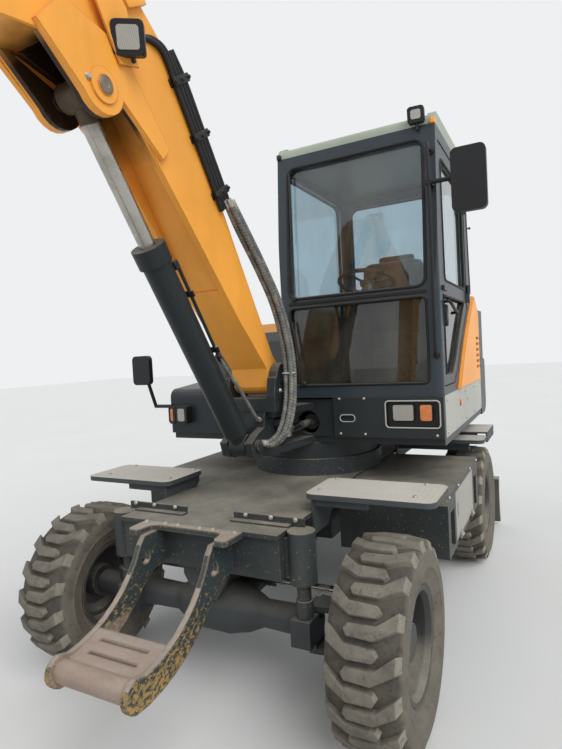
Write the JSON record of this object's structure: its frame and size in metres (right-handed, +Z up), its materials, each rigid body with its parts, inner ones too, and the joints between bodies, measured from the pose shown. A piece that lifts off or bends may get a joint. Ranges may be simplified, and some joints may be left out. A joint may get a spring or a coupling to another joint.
{
  "type": "wheeled excavator",
  "caption": "Compact wheeled excavator with an offset cab, a swinging boom post, a stabiliser blade and a toothed bucket",
  "frame": {"origin": "on the ground under the middle of the machine's length and width", "axes": "+X to the front where the bucket is, +Y to the machine's left where the cab's door is, +Z up"},
  "size_m": [5.5462, 2.34, 3.1748],
  "materials": {
    "chassis_paint": "matte, dusty",
    "step_steel": "satin, worn to bare steel at its edges",
    "fender_paint": "matte, dusty",
    "box_door_paint": "satin",
    "axle_casting": "matte, dusty",
    "rod_chrome": "polished",
    "tyre_rubber": "matte, dusty",
    "rim_paint": "satin, dusty",
    "blade_paint": "satin, scratched",
    "ram_paint": "satin",
    "house_dark": "satin",
    "engine_block": "matte",
    "house_orange": "satin",
    "panel_grey": "satin",
    "cab_paint": "satin",
    "roof_paint": "satin",
    "window_glass": "clear, lightly tinted",
    "cab_trim": "matte",
    "mirror_shell": "satin",
    "lamp_housing": "glossy",
    "post_paint": "satin, worn",
    "boom_orange": "satin, rubbed at the pins",
    "line_black": "matte",
    "ram_orange": "satin",
    "link_paint": "satin, worn",
    "bucket_steel": "worn, scraped to steel and dusty"
  },
  "bodies": {
    "chassis": {"chassis_frame": "chassis_paint", "front_step": "step_steel", "fenders": "fender_paint", "toolbox": "chassis_paint", "lock_cylinders": "chassis_paint", "front_axle": "axle_casting", "rear_axle": "axle_casting", "drive_line": "axle_casting"},
    "box_door": {"toolbox_door": "box_door_paint"},
    "knuckle_left": {"knuckle_left": "axle_casting"},
    "knuckle_right": {"knuckle_right": "axle_casting"},
    "steering_rod": {"steering_rod": "rod_chrome"},
    "wheel_front_left": {"tyre_front_left": "tyre_rubber", "rim_front_left": "rim_paint"},
    "wheel_front_right": {"tyre_front_right": "tyre_rubber", "rim_front_right": "rim_paint"},
    "wheel_rear_left": {"tyre_rear_left": "tyre_rubber", "rim_rear_left": "rim_paint"},
    "wheel_rear_right": {"tyre_rear_right": "tyre_rubber", "rim_rear_right": "rim_paint"},
    "blade": {"blade": "blade_paint"},
    "blade_ram_barrel": {"blade_ram_barrel": "ram_paint"},
    "blade_ram_rod": {"blade_ram_rod": "rod_chrome"},
    "house": {"house_frame": "house_dark", "counterweight": "house_dark", "engine": "engine_block", "side_covers": "house_orange", "lower_panels": "panel_grey", "cab_body": "cab_paint", "cab_roof": "roof_paint", "cab_glass": "window_glass", "operator_seat": "cab_trim", "mirrors": "mirror_shell", "lamps": "lamp_housing"},
    "hood": {"engine_hood": "house_dark"},
    "door": {"cab_door": "cab_paint", "door_glass": "window_glass"},
    "post": {"swing_post": "post_paint"},
    "swing_ram_barrel": {"swing_ram_barrel": "ram_paint"},
    "swing_ram_rod": {"swing_ram_rod": "rod_chrome"},
    "boom": {"boom": "boom_orange", "boom_lines": "line_black"},
    "boom_ram_barrel": {"boom_ram_barrel": "ram_orange"},
    "boom_ram_rod": {"boom_ram_rod": "rod_chrome"},
    "arm": {"arm": "boom_orange"},
    "arm_ram_barrel": {"arm_ram_barrel": "ram_orange"},
    "arm_ram_rod": {"arm_ram_rod": "rod_chrome"},
    "bucket_ram_barrel": {"bucket_ram_barrel": "ram_orange"},
    "bucket_ram_rod": {"bucket_ram_rod": "rod_chrome"},
    "rocker": {"rocker": "link_paint"},
    "link": {"bucket_link": "link_paint"},
    "bucket": {"bucket": "bucket_steel"}
  },
  "joints": [
    {"name": "swing", "type": "hinge", "parent": "chassis", "child": "house", "pos_m": [-1.052, 0, 0.96], "axis": [0, 0, 1], "continuous": true},
    {"name": "boom_swing", "type": "hinge", "parent": "house", "child": "post", "pos_m": [-0.332, 0, 1.18], "axis": [0, 0, 1], "range_deg": [-50, 80]},
    {"name": "boom_lift", "type": "hinge", "parent": "post", "child": "boom", "pos_m": [-0.302, 0, 1.47], "axis": [0, -1, 0], "range_deg": [-72, 36]},
    {"name": "arm_crowd", "type": "hinge", "parent": "boom", "child": "arm", "pos_m": [2.428, 0, 2.39], "axis": [0, 1, 0], "range_deg": [-85, 10]},
    {"name": "bucket_curl", "type": "hinge", "parent": "arm", "child": "bucket", "pos_m": [1.9602, 0, 0.85991], "axis": [0, 1, 0], "range_deg": [-43, 105]},
    {"name": "blade_lift", "type": "hinge", "parent": "chassis", "child": "blade", "pos_m": [-2.402, 0, 0.5], "axis": [0, 1, 0], "range_deg": [-12, 30]},
    {"name": "steer_left", "type": "hinge", "parent": "chassis", "child": "knuckle_left", "pos_m": [0.148, 0.6, 0.415], "axis": [0, 0, 1], "range_deg": [-30, 30]},
    {"name": "steer_right", "type": "hinge", "parent": "chassis", "child": "knuckle_right", "pos_m": [0.148, -0.6, 0.415], "axis": [0, 0, 1], "range_deg": [-30, 30]},
    {"name": "cab_door", "type": "hinge", "parent": "house", "child": "door", "pos_m": [-1.612, 0.93, 2], "axis": [0, 0, 1], "range_deg": [0, 160]},
    {"name": "engine_hood", "type": "hinge", "parent": "house", "child": "hood", "pos_m": [-2.155, 0, 1.862], "axis": [0, 1, 0], "range_deg": [0, 50]},
    {"name": "toolbox_door", "type": "hinge", "parent": "chassis", "child": "box_door", "pos_m": [-0.962, 0.966, 0.55], "axis": [-1, 0, 0], "range_deg": [0, 90]},
    {"name": "wheel_front_left", "type": "hinge", "parent": "knuckle_left", "child": "wheel_front_left", "pos_m": [0.148, 0.825, 0.415], "axis": [0, 1, 0], "continuous": true},
    {"name": "wheel_front_right", "type": "hinge", "parent": "knuckle_right", "child": "wheel_front_right", "pos_m": [0.148, -0.825, 0.415], "axis": [0, 1, 0], "continuous": true},
    {"name": "wheel_rear_left", "type": "hinge", "parent": "chassis", "child": "wheel_rear_left", "pos_m": [-1.952, 0.825, 0.415], "axis": [0, 1, 0], "continuous": true},
    {"name": "wheel_rear_right", "type": "hinge", "parent": "chassis", "child": "wheel_rear_right", "pos_m": [-1.952, -0.825, 0.415], "axis": [0, 1, 0], "continuous": true},
    {"name": "boom_ram_turn", "type": "hinge", "parent": "post", "child": "boom_ram_barrel", "pos_m": [-0.102, 0, 1.14], "axis": [0, -1, 0], "range_deg": [-70.84, 35.92]},
    {"name": "boom_ram", "type": "slide", "parent": "boom_ram_barrel", "child": "boom_ram_rod", "axis": [0.5587, 0, 0.8294], "range_m": [-0.4504, 0.2272]},
    {"name": "arm_ram_turn", "type": "hinge", "parent": "boom", "child": "arm_ram_barrel", "pos_m": [1.028, 0, 3.12], "axis": [0, 1, 0], "range_deg": [-1.26, 3.21]},
    {"name": "arm_ram", "type": "slide", "parent": "arm_ram_barrel", "child": "arm_ram_rod", "axis": [0.9665, 0, -0.2568], "range_m": [-0.5618, 0.0696]},
    {"name": "rocker_turn", "type": "hinge", "parent": "arm", "child": "rocker", "pos_m": [2.06226, 0, 1.14242], "axis": [0, 1, 0], "range_deg": [-37.55, 90.25]},
    {"name": "link_turn", "type": "hinge", "parent": "rocker", "child": "link", "pos_m": [2.34212, 0, 1.15146], "axis": [0, 1, 0], "range_deg": [-81.85, 34.11]},
    {"name": "bucket_ram_turn", "type": "hinge", "parent": "arm", "child": "bucket_ram_barrel", "pos_m": [2.60409, 0, 2.17931], "axis": [0, 1, 0], "range_deg": [-1.86, 3.1]},
    {"name": "bucket_ram", "type": "slide", "parent": "bucket_ram_barrel", "child": "bucket_ram_rod", "axis": [-0.247, 0, -0.969], "range_m": [-0.1511, 0.3632]},
    {"name": "blade_ram_turn", "type": "hinge", "parent": "chassis", "child": "blade_ram_barrel", "pos_m": [-2.402, 0, 0.77], "axis": [0, 1, 0], "range_deg": [-6.99, 15.97]},
    {"name": "blade_ram", "type": "slide", "parent": "blade_ram_barrel", "child": "blade_ram_rod", "axis": [-0.5599, 0, -0.8286], "range_m": [-0.0916, 0.039]},
    {"name": "swing_ram_turn", "type": "hinge", "parent": "house", "child": "swing_ram_barrel", "pos_m": [-1.202, 0.115, 1.18], "axis": [0, 0, 1], "range_deg": [-4.52, 3.2]},
    {"name": "swing_ram", "type": "slide", "parent": "swing_ram_barrel", "child": "swing_ram_rod", "axis": [1, 0.0058, 0], "range_m": [-0.1274, 0.0811]},
    {"name": "steering_rod", "type": "slide", "parent": "chassis", "child": "steering_rod", "axis": [0, -1, 0], "range_m": [-0.097, 0.097]}
  ],
  "couplings": [
    {"joint": "boom_ram_turn", "follows": "boom_lift", "ratio": 0.97},
    {"joint": "boom_ram", "follows": "boom_lift", "m_per_rad": 0.3552},
    {"joint": "arm_ram_turn", "follows": "arm_crowd", "ratio": -0.026},
    {"joint": "arm_ram", "follows": "arm_crowd", "m_per_rad": 0.37598},
    {"joint": "rocker_turn", "follows": "bucket_curl", "ratio": 0.85},
    {"joint": "link_turn", "follows": "bucket_curl", "ratio": -0.77},
    {"joint": "bucket_ram_turn", "follows": "bucket_curl", "ratio": 0.02},
    {"joint": "bucket_ram", "follows": "bucket_curl", "m_per_rad": 0.196},
    {"joint": "blade_ram_turn", "follows": "blade_lift", "ratio": 0.4989},
    {"joint": "blade_ram", "follows": "blade_lift", "m_per_rad": -0.1673},
    {"joint": "swing_ram_turn", "follows": "boom_swing", "ratio": -0.044},
    {"joint": "swing_ram", "follows": "boom_swing", "m_per_rad": -0.08838},
    {"joint": "steer_right", "follows": "steer_left", "ratio": 1},
    {"joint": "steering_rod", "follows": "steer_left", "m_per_rad": 0.175}
  ]
}
